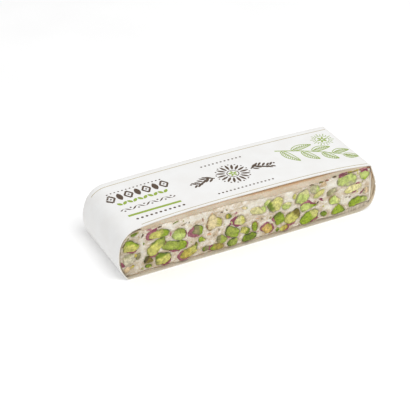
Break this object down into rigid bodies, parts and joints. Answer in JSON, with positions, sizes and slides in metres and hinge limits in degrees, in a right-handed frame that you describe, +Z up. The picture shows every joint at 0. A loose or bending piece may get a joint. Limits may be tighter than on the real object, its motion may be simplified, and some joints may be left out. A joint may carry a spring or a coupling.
{
  "type": "pistachio nougat bar in an open-fronted carton",
  "caption": "Soft white nougat bar full of green pistachios between wafer sheets, in a white card carton whose long front side is an open window.",
  "frame": {"origin": "centre of the carton's underside, on the surface it rests on", "axes": "+X along the bar, +Z up, window towards -Y"},
  "size_m": [0.144, 0.0476, 0.0266],
  "materials": {
    "card": "smooth white coated folding carton, cream-grey inside",
    "nougat": "soft off-white nougat with cut green pistachios and purple skins",
    "wafer": "thin matt beige wafer sheet"
  },
  "bodies": {
    "root": {"carton": "card", "nougat": "nougat", "wafer_top": "wafer", "wafer_bottom": "wafer"}
  },
  "joints": []
}
